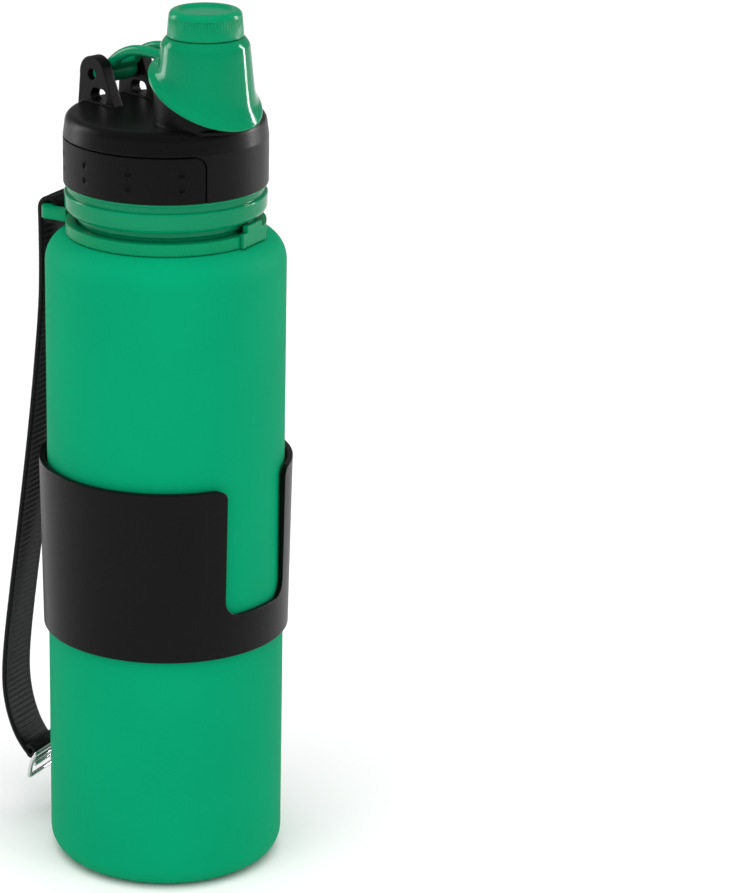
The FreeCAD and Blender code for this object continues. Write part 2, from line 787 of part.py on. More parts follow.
# ---------------------------------------------------------------- whole part
def check(items):
    doc.recompute()
    for item in doc.Objects:
        if "Invalid" in item.State or "Error" in item.State:
            raise ValueError(item.Label + " did not rebuild")
    for item in items:
        if item.Shape.isNull() or not item.Shape.isValid() or not item.Shape.Solids:
            raise ValueError(item.Label + " has no valid shape")


fill_sheet()
nodes = [
    silicone_body(),
    neck_collar(),
    strap_ring(),
    lid_shell(),
    grip_pad("grip_pad_right", 1),
    grip_pad("grip_pad_left", -1),
    lid_gasket(),
    spout_nozzle(),
    hood(),
    twist_knob(),
    knob_seal(),
    sleeve(),
    strap(),
    wire_hook(),
]
check(nodes)
os.makedirs("parts", exist_ok=True)
for node in nodes:
    node.Shape.exportStep("parts/" + node.Label + ".step")
    print(node.Label, len(node.Shape.Solids), round(node.Shape.Volume, 1))
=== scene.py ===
# %% [markdown]
# # A folding water bottle
# This notebook dresses a working model of a soft drinking bottle.  The bottle folds flat
# when it is empty, and it has a screw lid, a hinged hood over its drinking nozzle, a rigid
# sleeve and a hand strap.  The engineering model is loaded first and never moved: every
# piece made here takes its place from that frame, in metres.

# %% Load the frame
import json
import math

import bmesh
import bpy
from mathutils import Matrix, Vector


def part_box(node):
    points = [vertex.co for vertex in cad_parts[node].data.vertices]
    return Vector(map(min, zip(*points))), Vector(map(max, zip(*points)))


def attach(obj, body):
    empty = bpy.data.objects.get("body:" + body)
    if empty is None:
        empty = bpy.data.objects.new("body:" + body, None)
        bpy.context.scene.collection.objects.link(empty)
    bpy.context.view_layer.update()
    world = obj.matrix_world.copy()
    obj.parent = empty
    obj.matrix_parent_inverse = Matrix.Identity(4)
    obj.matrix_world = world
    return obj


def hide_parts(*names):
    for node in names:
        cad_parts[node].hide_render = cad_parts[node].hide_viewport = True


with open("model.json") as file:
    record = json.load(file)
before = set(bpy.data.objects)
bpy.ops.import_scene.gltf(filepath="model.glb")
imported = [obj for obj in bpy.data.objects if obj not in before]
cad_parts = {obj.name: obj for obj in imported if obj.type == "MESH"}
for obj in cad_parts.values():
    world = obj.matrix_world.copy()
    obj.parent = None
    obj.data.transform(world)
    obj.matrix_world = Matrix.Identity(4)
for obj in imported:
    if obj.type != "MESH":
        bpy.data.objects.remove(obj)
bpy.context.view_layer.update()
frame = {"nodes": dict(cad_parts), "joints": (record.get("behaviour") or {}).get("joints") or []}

MM = 0.001
print("nodes:", sorted(frame["nodes"]))

# %% [markdown]
# ## Camera
# A short lens close by makes a tall bottle taper.  A long lens from further away and a little
# above keeps its sides nearly parallel and still shows the top of the lid.  The bottle stands
# left of the middle, so the lens is shifted sideways instead of turning the camera, which
# would make the bottle lean.

# %% Camera
CAMERA_TURN = math.radians(42)      # seen from this far round to the left of the nozzle
CAMERA_AWAY = 0.971
CAMERA_HEIGHT = 0.464
CAMERA_PITCH = math.radians(19.1)   # looks down by this much
LENS_LENGTH = 140.65                # millimetres
LENS_SHIFT = 0.233                  # share of the frame's longer side


def make_camera():
    data = bpy.data.cameras.new("camera")
    camera = bpy.data.objects.new("camera", data)
    bpy.context.scene.collection.objects.link(camera)
    camera.location = (-CAMERA_AWAY * math.sin(CAMERA_TURN),
                       -CAMERA_AWAY * math.cos(CAMERA_TURN), CAMERA_HEIGHT)
    camera.rotation_euler = (math.pi / 2 - CAMERA_PITCH, 0, -CAMERA_TURN)
    data.lens = LENS_LENGTH
    data.shift_x = LENS_SHIFT
    data.clip_start = 0.05
    bpy.context.scene.camera = camera
    return camera


camera = make_camera()
print("camera at", [round(x, 3) for x in camera.location])

# %% [markdown]
# ## Colours and nodes
# Colours are written as the hex values that a colour picker shows, and one function turns
# them into the linear numbers that a shader works with.  A second small function adds a
# node, sets its values and joins its wires, so that a material reads like a recipe.

# %% Colour and node helpers
def colour(hex_text):
    """Linear RGBA from an sRGB hex colour."""
    parts = [int(hex_text[i:i + 2], 16) / 255 for i in (1, 3, 5)]
    linear = [c / 12.92 if c <= 0.04045 else ((c + 0.055) / 1.055) ** 2.4 for c in parts]
    return (*linear, 1.0)


def node(tree, kind, inputs=None, **settings):
    """Add a node: settings are its properties, inputs its socket values or wires."""
    made = tree.nodes.new("ShaderNode" + kind)
    for name, setting in settings.items():
        setattr(made, name, setting)
    for name, given in (inputs or {}).items():
        if isinstance(given, bpy.types.NodeSocket):
            tree.links.new(given, made.inputs[name])
        else:
            made.inputs[name].default_value = given
    return made


def new_material(name):
    material = bpy.data.materials.new(name)
    material.use_nodes = True
    material.node_tree.nodes.clear()
    return material, material.node_tree


def grain_scale(size_mm):
    """Noise scale whose spots are about this many millimetres across."""
    return 1 / (size_mm * MM)


# %% [markdown]
# ## Moulded finishes
# Most of the bottle is moulded: soft silicone, hard glossy plastic, satin plastic and a
# rubbery grip.  They differ in colour, in gloss and in the fine grain that the mould leaves.
# One function builds them all from those differences: a slow change of shade over some
# centimetres, a fine grain as bump and as a change of roughness, and softened edges.
# The edge softening reads the shape, so it catches light where a mould has a small radius.

# %% Moulded material
def moulded(name, light, dark, roughness, grain_mm, grain_depth_mm, edge_mm=0.3,
            cloud_mm=35, ior=1.46, soft=0.0, spread=0.05, shine=0.5):
    """Plastic or rubber out of a mould: two close shades, a grain and soft edges.

    soft is how much light goes into it, spread how far the grain changes the roughness,
    and shine the strength of its reflections.
    """
    material, tree = new_material(name)
    place = node(tree, "TexCoord").outputs["Object"]
    cloud = node(tree, "TexNoise", {"Vector": place, "Scale": grain_scale(cloud_mm),
                                    "Detail": 2.0, "Roughness": 0.4})
    shade = node(tree, "ValToRGB", {"Fac": cloud.outputs["Fac"]})
    shade.color_ramp.elements[0].position = 0.3
    shade.color_ramp.elements[0].color = colour(dark)
    shade.color_ramp.elements[1].position = 0.7
    shade.color_ramp.elements[1].color = colour(light)
    grain = node(tree, "TexNoise", {"Vector": place, "Scale": grain_scale(grain_mm),
                                    "Detail": 3.0, "Roughness": 0.6})
    rough = node(tree, "MapRange", {"Value": grain.outputs["Fac"], "From Min": 0.3,
                                    "From Max": 0.7, "To Min": roughness - spread,
                                    "To Max": roughness + spread})
    edge = node(tree, "Bevel", {"Radius": edge_mm * MM}, samples=4)
    bump = node(tree, "Bump", {"Height": grain.outputs["Fac"], "Strength": 0.6,
                               "Distance": grain_depth_mm * MM,
                               "Normal": edge.outputs["Normal"]})
    shader = node(tree, "BsdfPrincipled", {
        "Base Color": shade.outputs["Color"], "Roughness": rough.outputs["Result"],
        "Normal": bump.outputs["Normal"], "IOR": ior, "Specular IOR Level": shine,
        "Subsurface Weight": soft, "Subsurface Scale": 2 * MM,
        "Subsurface Radius": (0.4, 1.0, 0.6)})
    out = node(tree, "OutputMaterial")
    tree.links.new(shader.outputs["BSDF"], out.inputs["Surface"])
    return material


# %% The moulded materials
# Silicone rubber: matt and dry to the touch, a little light goes into it.
soft_silicone = moulded("silicone_rubber_matt", "#049668", "#049165", roughness=0.6,
                        grain_mm=0.5, grain_depth_mm=0.02, ior=1.41, soft=0.1, shine=0.03)
# Clear-tinted polypropylene out of a polished mould: glossy, deeper in colour.
glossy_green = moulded("polypropylene_tinted_gloss", "#02855A", "#027E54", roughness=0.12,
                       grain_mm=6.0, grain_depth_mm=0.02, edge_mm=0.4, ior=1.49, soft=0.15,
                       spread=0.03, shine=0.12)
# The knob is a thicker moulding of the same plastic, so it looks lighter.
knob_green = moulded("polypropylene_tinted_thick", "#028D60", "#02885B", roughness=0.2,
                     grain_mm=6.0, grain_depth_mm=0.02, edge_mm=0.5, ior=1.49, soft=0.15,
                     spread=0.03, shine=0.1)
# The same plastic out of a sand-blasted mould: satin.
satin_green = moulded("polypropylene_satin", "#028B5D", "#028557", roughness=0.34,
                      grain_mm=0.4, grain_depth_mm=0.015, edge_mm=0.6, ior=1.49, soft=0.1,
                      shine=0.07)
# Black polypropylene with a fine spark-eroded texture.
black_plastic = moulded("polypropylene_black_satin", "#0B0B0C", "#080808", roughness=0.36,
                        grain_mm=0.35, grain_depth_mm=0.02, edge_mm=0.6, ior=1.49, shine=0.1)
# Thermoplastic rubber of the grip pads: duller than the lid that holds it.
grip_rubber = moulded("thermoplastic_rubber_black", "#0A0A0A", "#070707", roughness=0.5,
                      grain_mm=0.3, grain_depth_mm=0.03, edge_mm=0.35, ior=1.5, shine=0.1)
# Food-grade silicone of the nozzle and seals: milky and soft.
milky_silicone = moulded("silicone_food_grade", "#D9DDD8", "#CDD2CC", roughness=0.42,
                         grain_mm=0.6, grain_depth_mm=0.015, edge_mm=0.4, ior=1.41, soft=0.4)
print("materials so far:", len(bpy.data.materials))

# %% [markdown]
# ## Webbing, thread and wire
# The strap is woven polyester.  Its threads follow the strap, not the room, so the weave is
# drawn from the strap's own map: one direction runs along it and one across, both in metres.
# Two sine waves, one each way and multiplied, make a plain weave, and a third, slower one
# makes every other cross rib lie deeper.  The weave's height is drawn as bumps and also as
# painted shade: its low places and deeper ribs are coloured darker.  The hook is hard-drawn
# steel wire: polished, with fine drawing marks that roughen it a little.

# %% Woven polyester
THREAD = 0.55 * MM          # one thread and its gap; real ones are a little finer
RIB_PITCH = 1.8 * MM        # cross ribs of the weave


def woven(name, light, dark):
    """Plain weave with cross ribs, drawn on the strap's own map in metres, with painted shade in
    its low places.
    """
    material, tree = new_material(name)
    across, along, _ = node(tree, "SeparateXYZ", {
        "Vector": node(tree, "UVMap", uv_map="weave").outputs["UV"]}).outputs
    turn = 2 * math.pi / THREAD
    waves = []
    for line, pitch in ((across, turn), (along, turn * 0.8)):
        angle = node(tree, "Math", {0: line, 1: pitch}, operation="MULTIPLY")
        waves.append(node(tree, "Math", {0: angle.outputs["Value"]}, operation="SINE"))
    crossing = node(tree, "Math", {0: waves[0].outputs["Value"],
                                   1: waves[1].outputs["Value"]}, operation="MULTIPLY")
    height = node(tree, "MapRange", {"Value": crossing.outputs["Value"],
                                     "From Min": -1.0, "From Max": 1.0})
    fibre = node(tree, "TexNoise", {"Vector": node(tree, "TexCoord").outputs["Object"],
                                    "Scale": grain_scale(0.8), "Detail": 3.0})
    woven_height = node(tree, "Math", {0: height.outputs["Result"],
                                       1: fibre.outputs["Fac"]}, operation="MULTIPLY")
    # every other rib lies deeper, and painted shade makes its threads darker
    angle = node(tree, "Math", {0: along, 1: 2 * math.pi / RIB_PITCH}, operation="MULTIPLY")
    rib = node(tree, "Math", {0: angle.outputs["Value"]}, operation="SINE")
    rib_painted_shade = node(tree, "MapRange", {"Value": rib.outputs["Value"], "From Min": -1.0,
                                        "To Min": 0.25})
    mixed = node(tree, "Math", {0: woven_height.outputs["Value"],
                                1: rib_painted_shade.outputs["Result"]}, operation="MULTIPLY")
    # painted shade: the weave's low places and deeper ribs get the dark colour, its raised
    # threads the light one
    shade = node(tree, "ValToRGB", {"Fac": mixed.outputs["Value"]})
    shade.color_ramp.elements[0].position = 0.05
    shade.color_ramp.elements[0].color = colour(dark)
    shade.color_ramp.elements[1].position = 0.6
    shade.color_ramp.elements[1].color = colour(light)
    bump = node(tree, "Bump", {"Height": mixed.outputs["Value"], "Strength": 0.8,
                               "Distance": 0.15 * MM})
    shader = node(tree, "BsdfPrincipled", {
        "Base Color": shade.outputs["Color"], "Normal": bump.outputs["Normal"],
        "Roughness": 0.62, "IOR": 1.57, "Specular IOR Level": 0.15,
        "Sheen Weight": 0.03, "Sheen Roughness": 0.4})
    out = node(tree, "OutputMaterial")
    tree.links.new(shader.outputs["BSDF"], out.inputs["Surface"])
    return material


webbing_black = woven("polyester_webbing_black", "#141616", "#020202")

# %% Drawn steel wire
def drawn_wire(name):
    """Bright wire: the marks of the drawing die run along its bars, about 0.15 mm apart."""
    material, tree = new_material(name)
    place = node(tree, "TexCoord").outputs["Object"]
    stretched = node(tree, "Mapping", {"Vector": place, "Scale": (0.1, 1.0, 1.0)})
    marks = node(tree, "TexNoise", {"Vector": stretched.outputs["Vector"],
                                    "Scale": grain_scale(0.15), "Detail": 2.0})
    rough = node(tree, "MapRange", {"Value": marks.outputs["Fac"], "To Min": 0.1,
                                    "To Max": 0.32})
    tint = node(tree, "ValToRGB", {"Fac": marks.outputs["Fac"]})
    tint.color_ramp.elements[0].color = colour("#B9BABB")
    tint.color_ramp.elements[1].color = colour("#DCDDDD")
    bump = node(tree, "Bump", {"Height": marks.outputs["Fac"], "Strength": 0.3,
                               "Distance": 0.01 * MM})
    shader = node(tree, "BsdfPrincipled", {
        "Base Color": tint.outputs["Color"], "Metallic": 1.0,
        "Roughness": rough.outputs["Result"], "Normal": bump.outputs["Normal"]})
    out = node(tree, "OutputMaterial")
    tree.links.new(shader.outputs["BSDF"], out.inputs["Surface"])
    return material


steel_wire = drawn_wire("stainless_steel_wire_drawn")
stitch_thread = moulded("polyester_thread_dark", "#3A3B3C", "#262728", roughness=0.6,
                        grain_mm=0.2, grain_depth_mm=0.03, edge_mm=0.05, ior=1.57)

# %% [markdown]
# ## Modelling helpers
# Each new piece starts as a primitive at its size and place and is shaped in edit mode, as
# by hand.  An operator works on whatever is selected, so the first helper clears the
# selection, and the second picks points, edges or faces by where they are.

# %% Helpers for editing
NEAR = 0.02 * MM            # points this close to a place count as lying on it


def deselect():
    if bpy.context.object and bpy.context.object.mode == "EDIT":
        bpy.ops.object.mode_set(mode="OBJECT")
    bpy.ops.object.select_all(action="DESELECT")


def start(name, add, **settings):
    """Add a primitive, name it and open it in edit mode with its place in its mesh."""
    deselect()
    add(**settings)
    piece = bpy.context.object
    piece.name = piece.data.name = name
    bpy.ops.object.transform_apply(location=True, rotation=True, scale=True)
    bpy.ops.object.mode_set(mode="EDIT")
    return piece


def pick(piece, kind, test):
    """Select in edit mode the verts, edges or faces that the test accepts."""
    bpy.ops.mesh.select_mode(type=kind)
    bpy.ops.mesh.select_all(action="DESELECT")
    mesh = bmesh.from_edit_mesh(piece.data)
    items = {"VERT": mesh.verts, "EDGE": mesh.edges, "FACE": mesh.faces}[kind]
    found = [item for item in items if test(item)]
    for item in found:
        item.select_set(True)
    mesh.select_flush_mode()
    bmesh.update_edit_mesh(piece.data)
    return len(found)


def level(z):
    """Test for an edge that lies at one height."""
    return lambda edge: all(abs(v.co.z - z) < NEAR for v in edge.verts)


def cap(z, up=1):
    """Test for the flat face that closes a turned shape at one height."""
    return lambda face: face.normal.z * up > 0.99 and all(
        abs(v.co.z - z) < NEAR for v in face.verts) and len(face.verts) > 8


def push(x=0.0, y=0.0, z=0.0):
    bpy.ops.mesh.extrude_region_move(TRANSFORM_OT_translate={"value": (x, y, z)})


def widen(share):
    """Scale the selection about the middle in plan."""
    bpy.ops.transform.resize(value=(share, share, 1))


def modify(piece, kind, **settings):
    """Add a modifier and apply it at once."""
    deselect()
    piece.select_set(True)
    bpy.context.view_layer.objects.active = piece
    modifier = piece.modifiers.new(kind.lower(), kind)
    for name, setting in settings.items():
        setattr(modifier, name, setting)
    bpy.ops.object.modifier_apply(modifier=modifier.name)
    return piece


def finish_piece(piece, material, body, angle=35, stands_for=()):
    """Smooth it, give it its finish and its body, and let it stand for its CAD nodes."""
    deselect()
    piece.select_set(True)
    bpy.context.view_layer.objects.active = piece
    bpy.ops.object.shade_smooth_by_angle(angle=math.radians(angle))
    piece.data.materials.clear()
    piece.data.materials.append(material)
    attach(piece, body)
    if stands_for:
        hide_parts(*stands_for)
    print(piece.name, len(piece.data.polygons), "faces")
    return piece


def size_of(name):
    """Lowest corner, highest corner and outer radius of a round CAD node."""
    low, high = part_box(name)
    return low, high, (high.x - low.x) / 2


# %% [markdown]
# ## Soft bottle
# The bottle is dipped from one piece of silicone rubber about 2 mm thick, so it has no sharp
# edge anywhere: a wide round shoulder, a round heel and a shallow hollow under the base that
# makes it stand on a ring.  A turned profile would do, but a cylinder that is bevelled, inset
# and extruded keeps every step visible and leaves the wall closed inside.

# %% Soft bottle
SHOULDER_ROUND = 8.5 * MM
HEEL_ROUND = 7 * MM
WALL = 2.2 * MM
NECK_LIP = 2.6 * MM         # height of the neck over the shoulder
NECK_RADIUS = 26 * MM
NECK_BORE = 23.4 * MM       # radius of the hole that holds the collar
FOOT_RING = 6 * MM          # width of the ring that it stands on
HOLLOW = 0.8 * MM           # depth of the hollow under the base
# the inside keeps the wall's thickness round the shoulder, in three steps:
# how far in from the outer wall, and how far down from the step before
INSIDE_STEPS = ((SHOULDER_ROUND, 0), (4.05 * MM, 1.85 * MM), (WALL, 4.45 * MM))


def soft_bottle():
    _, high, radius = size_of("silicone_body")
    shoulder = high.z - NECK_LIP
    bottle = start("bottle_skin", bpy.ops.mesh.primitive_cylinder_add, vertices=144,
                   radius=radius, depth=shoulder, location=(0, 0, shoulder / 2))
    pick(bottle, "EDGE", level(shoulder))
    bpy.ops.mesh.bevel(offset=SHOULDER_ROUND, segments=12, profile=0.5, affect="EDGES")
    pick(bottle, "EDGE", level(0))
    bpy.ops.mesh.bevel(offset=HEEL_ROUND, segments=10, profile=0.5, affect="EDGES")
    # hollow under the base, with a round edge
    pick(bottle, "FACE", cap(0, up=-1))
    bpy.ops.mesh.inset(thickness=FOOT_RING)
    bpy.ops.mesh.inset(thickness=HOLLOW)
    bpy.ops.transform.translate(value=(0, 0, HOLLOW))
    # soft neck round the collar, and the inside of the bottle
    pick(bottle, "FACE", cap(shoulder))
    bpy.ops.mesh.inset(thickness=radius - SHOULDER_ROUND - NECK_RADIUS)
    push(z=NECK_LIP)
    bpy.ops.mesh.inset(thickness=NECK_RADIUS - NECK_BORE)
    push(z=-(NECK_LIP + WALL))
    reach = NECK_BORE
    for inward, down in INSIDE_STEPS:
        push(z=-down)
        widen((radius - inward) / reach)
        reach = radius - inward
    push(z=-(shoulder - SHOULDER_ROUND - 2 * WALL))
    bpy.ops.object.mode_set(mode="OBJECT")
    modify(bottle, "BEVEL", width=0.35 * MM, segments=3, limit_method="ANGLE",
           angle_limit=math.radians(40))
    finish_piece(bottle, soft_silicone, "bottle",
                 stands_for=["silicone_body"])


soft_bottle()

# %% [markdown]
# ## Collar
# The hard collar in the soft neck is moulded in tinted, polished plastic.  It shows as a
# bright band under the lid, with a narrow lip above it and a waist below.  It is round
# everywhere, so its outline is drawn once and spun about the bottle's axis.

# %% Collar
COLLAR_BORE = 21.6 * MM     # radius of the mouth
COLLAR_WAIST = 25.4 * MM    # radius under the lid and under the band
SEAT_DOWN = 12.0 * MM       # the lid's foot stands just over this depth under the top
BAND_TALL = 8.8 * MM
BAND_ROUND = 2.4 * MM       # round lower edge of the band
BAND_ROUND_STEPS = 8
WAIST_FOOT = 3.6 * MM       # the waist goes this far down under the band
STEP_OUT = 0.9 * MM         # small step under the band, and depth of the groove above it


def spun(name, outline, steps=144):
    """A closed outline of (radius, height) places turned about the vertical axis."""
    piece = start(name, bpy.ops.mesh.primitive_circle_add, vertices=len(outline), radius=MM)
    mesh = bmesh.from_edit_mesh(piece.data)
    for vert, (radius, z) in zip(mesh.verts, outline):
        vert.co = (radius, 0, z)
    bmesh.update_edit_mesh(piece.data)
    bpy.ops.mesh.select_all(action="SELECT")
    bpy.ops.mesh.spin(steps=steps, angle=2 * math.pi, center=(0, 0, 0), axis=(0, 0, 1))
    bpy.ops.mesh.select_all(action="SELECT")
    bpy.ops.mesh.remove_doubles(threshold=0.005 * MM)
    bpy.ops.mesh.normals_make_consistent(inside=False)
    bpy.ops.object.mode_set(mode="OBJECT")
    return piece


def collar():
    low, high, radius = size_of("neck_collar")
    seat = high.z - SEAT_DOWN
    foot = seat - BAND_TALL
    groove = radius - STEP_OUT
    outline = [(COLLAR_BORE, low.z), (NECK_BORE, low.z), (NECK_BORE, foot - WAIST_FOOT),
               (COLLAR_WAIST, foot - WAIST_FOOT), (COLLAR_WAIST, foot - 1.9 * MM),
               (COLLAR_WAIST + STEP_OUT, foot - 1.5 * MM), (COLLAR_WAIST + STEP_OUT, foot)]
    for step in range(BAND_ROUND_STEPS + 1):
        angle = math.radians(90 * step / BAND_ROUND_STEPS)
        outline.append((radius - BAND_ROUND * (1 - math.sin(angle)),
                        foot + BAND_ROUND * (1 - math.cos(angle))))
    # the groove that parts the band from its narrow lip
    outline += [(radius, seat - 3.1 * MM), (radius - 0.25 * MM, seat - 2.8 * MM),
                (groove, seat - 2.7 * MM), (groove, seat - 0.9 * MM),
                (radius - 0.2 * MM, seat - 0.7 * MM), (radius, seat - 0.5 * MM)]
    outline += [(radius, seat), (COLLAR_WAIST, seat), (COLLAR_WAIST, high.z),
                (COLLAR_BORE, high.z)]
    finish_piece(spun("collar_band", outline), glossy_green, "bottle", angle=32,
                 stands_for=["neck_collar"])


collar()

# %% [markdown]
# ## Hood
# The hood is a glossy bell over the nozzle.  Its mouth is slanted, and the wall turns out
# into a thin brim there, so its loops start level at the top and end at the mouth's slant.
# Each loop is a circle added at its height and tilt, and bridging joins them into one skin.
# Subdivision rounds the skin and Solidify gives the wall.  The hinge's arms, web, barrel and
# pins are remeshed into one body, which rounds the inner corners as a mould does.  A boolean
# leaves only a scrap of this pair, so the hinge's closed body simply reaches into the wall.

# %% Hood sizes and places
SLOPE = 0.49                # rise of the mouth's plane toward the hinge
BRIM_RADIUS = 16.2 * MM
BELL_NECK = 12.75 * MM      # radius just under the bell's shoulder
BELL_TAPER = 0.102          # how much the bell widens on its way down
BELL_SHOULDER = 2.8 * MM
HOOD_WALL = 1.15 * MM
HINGE_HALF = 5.7 * MM       # half the width across both arms


def joint_place(name):
    return Vector(next(j["pos_m"] for j in frame["joints"] if j["name"] == name))


hood_low, hood_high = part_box("hood")
hood_axis = joint_place("knob_twist").y
pivot = joint_place("hood_flip")
mouth_level = hood_low.z + SLOPE * BRIM_RADIUS      # the mouth's plane on the hood's axis
neck_level = hood_high.z - BELL_SHOULDER
print("hood top", round(hood_high.z, 4), "mouth on the axis", round(mouth_level, 4))

# %% Bell with its brim
# rise over the mouth in mm, share of the brim's flare, share of the mouth's slant
BELL_LOOPS = [(0.15, 1.0, 1.0), (0.95, 1.0, 1.0), (1.35, 0.72, 1.0), (2.1, 0.36, 1.0),
              (3.4, 0.1, 0.98), (5.0, 0.0, 0.9), (9.6, 0.0, 0.5)]
# radius and depth under the top in mm, from the shoulder to the stem's hole; no two of them
# lie at one height, because bridging level loops can twist the faces between them
CROWN_LOOPS = [(12.75, 2.8), (12.6, 2.0), (11.5, 0.45), (10.9, 0.05), (9.6, 0.0), (6.2, 0.2)]
LOOP = 48                   # points in each loop


def add_loop(radius, shift, z, slant):
    """A circle round the hood's axis, tilted by its share of the mouth's slant."""
    tilt = math.atan(SLOPE * slant)
    centre = (0, hood_axis + shift, z)
    bpy.ops.mesh.primitive_circle_add(vertices=LOOP, radius=radius, location=centre,
                                      rotation=(tilt, 0, 0))
    stretch = 1 / math.cos(tilt)            # so that the tilted loop is round from above
    bpy.ops.transform.resize(value=(1, stretch, stretch), center_override=centre)


def bell():
    skin = start("bell", bpy.ops.mesh.primitive_circle_add, vertices=3, radius=MM)
    bpy.ops.mesh.delete(type="VERT")
    for rise, flare, slant in BELL_LOOPS:
        z = mouth_level + rise * MM
        plain = BELL_NECK + BELL_TAPER * (neck_level - z)
        lean = -BELL_TAPER * SLOPE * slant * plain
        add_loop(plain + flare * (BRIM_RADIUS - plain), (1 - flare) * lean, z, slant)
    for radius, depth in CROWN_LOOPS:
        add_loop(radius * MM, 0, hood_high.z - depth * MM, 0)
    for lower in range(len(BELL_LOOPS) + len(CROWN_LOOPS) - 1):
        pick(skin, "EDGE", lambda e: e.verts[0].index // LOOP == e.verts[1].index // LOOP
             and e.verts[0].index // LOOP in (lower, lower + 1))
        bpy.ops.mesh.bridge_edge_loops()
    bpy.ops.mesh.select_all(action="SELECT")
    bpy.ops.mesh.normals_make_consistent(inside=False)
    if not pick(skin, "FACE", lambda f: f.normal.z > 0.99):
        bpy.ops.mesh.select_all(action="SELECT")
        bpy.ops.mesh.flip_normals()         # the crown's faces have to look up
    bpy.ops.object.mode_set(mode="OBJECT")
    modify(skin, "SUBSURF", levels=2, render_levels=2)
    return modify(skin, "SOLIDIFY", thickness=HOOD_WALL, offset=-1, use_even_offset=False)


# %% Smooth bars
def bar(name, places, thick, order=4, sides=4):
    """A round bar whose middle follows a smooth line through or near the places."""
    deselect()
    line = bpy.data.curves.new(name, "CURVE")
    line.dimensions = "3D"
    spline = line.splines.new("NURBS")
    spline.points.add(len(places) - 1)
    for point, place in zip(spline.points, places):
        point.co = (*place, 1)
    spline.order_u = order
    spline.use_endpoint_u = True
    line.resolution_u = 10
    line.bevel_depth = thick / 2
    line.bevel_resolution = sides
    line.use_fill_caps = True
    piece = bpy.data.objects.new(name, line)
    bpy.context.scene.collection.objects.link(piece)
    piece.select_set(True)
    bpy.context.view_layer.objects.active = piece
    bpy.ops.object.convert(target="MESH")
    bpy.ops.object.mode_set(mode="EDIT")
    bpy.ops.mesh.select_all(action="SELECT")
    bpy.ops.mesh.remove_doubles(threshold=0.001 * MM)
    bpy.ops.mesh.normals_make_consistent(inside=False)
    bpy.ops.object.mode_set(mode="OBJECT")
    return bpy.context.object


def round_pin(name, radius, half, place, edge):
    """A pin along X with bevelled ends."""
    pin = start(name, bpy.ops.mesh.primitive_cylinder_add, vertices=40, radius=radius,
                depth=2 * half, location=place, rotation=(0, math.pi / 2, 0))
    pick(pin, "EDGE", lambda e: all(abs(abs(v.co.x) - half) < NEAR for v in e.verts))
    bpy.ops.mesh.bevel(offset=edge, segments=3, affect="EDGES")
    bpy.ops.object.mode_set(mode="OBJECT")
    return pin


# %% Hinge side of the hood
ARM_THICK = 3.2 * MM
WEB_LONG = 5.4 * MM
WEB_DEEP = 2.6 * MM
WEB_FRONT = 2.6 * MM        # the web's middle, in front of the pivot
WEB_UP = 2.4 * MM           # and above it
WEB_TILT = math.radians(-42)
BARREL_RADIUS = 3.2 * MM
PIN_RADIUS = 1.6 * MM
PIN_HALF = 7.9 * MM         # the pins end inside the ears
HINGE_VOXEL = 0.28 * MM
# each arm's middle: back from the bottle's axis, up from the pivot
ARM_LINE = [(-5.2, 8.5), (0.5, 8.9), (7.0, 8.9), (12.6, 7.4), (17.4, 4.6), (20.6, 1.2)]


def hinge_parts():
    parts = []
    for side in (-1, 1):
        x = side * (HINGE_HALF - ARM_THICK / 2)
        places = [(x, y * MM, pivot.z + z * MM) for y, z in ARM_LINE]
        parts.append(bar("arm", places, ARM_THICK))
    web = start("web", bpy.ops.mesh.primitive_cube_add, size=1,
                location=(0, pivot.y - WEB_FRONT, pivot.z + WEB_UP),
                rotation=(WEB_TILT, 0, 0), scale=(1.9 * HINGE_HALF, WEB_LONG, WEB_DEEP))
    bpy.ops.mesh.bevel(offset=0.9 * MM, segments=4, affect="EDGES")
    bpy.ops.object.mode_set(mode="OBJECT")
    parts.append(web)
    parts.append(round_pin("barrel", BARREL_RADIUS, HINGE_HALF, pivot, 0.6 * MM))
    parts.append(round_pin("pins", PIN_RADIUS, PIN_HALF, pivot, 0.3 * MM))
    return parts


def join(name, parts):
    """One object out of several, with each part's mesh as it is."""
    deselect()
    for part in parts:
        part.select_set(True)
    bpy.context.view_layer.objects.active = parts[0]
    bpy.ops.object.join()
    whole = bpy.context.object
    whole.name = whole.data.name = name
    return whole


hinge = join("hinge", hinge_parts())
modify(hinge, "REMESH", mode="VOXEL", voxel_size=HINGE_VOXEL)
modify(hinge, "SMOOTH", factor=0.6, iterations=5)
hood = join("hood_bell", [bell(), hinge])
finish_piece(hood, glossy_green, "hood", angle=50, stands_for=["hood"])

# %% [markdown]
# ## Strap
# The strap is 14 mm webbing.  It is sewn round the bar of the loop at the shoulder, hangs
# free in a long bow beside the bottle, and turns back round the hook's wire.  Webbing keeps
# its width and thickness wherever it bends, so its section is swept along one smooth line
# and its map is measured along that line, which keeps the weave even.  Cloth simulation
# would let it stretch.

# %% The strap's line
TURN = math.radians(17)             # the loop sits this far round from the hinge
WEB_WIDE = 14 * MM
WEB_THICK = 1.5 * MM
# how far the web's middle stands out past the bottle's wall and how far below the shoulder
HANG = [(3.7, 6.0), (3.8, 22.0), (4.8, 35.0), (7.8, 62.0), (11.6, 90.0), (15.6, 117.0),
        (18.4, 137.0), (19.4, 149.3), (18.5, 158.0), (16.0, 165.8), (12.5, 171.1)]
FOLD = (9.9, 171.8)                 # the hook's first wire
# the wire's bars: on the fold's inner face, under the fold, and the free one
HOOK = [(6.9, 171.6), (8.8, 175.0), (9.6, 179.8)]
WIRE = 1.3 * MM                     # the wire's thickness

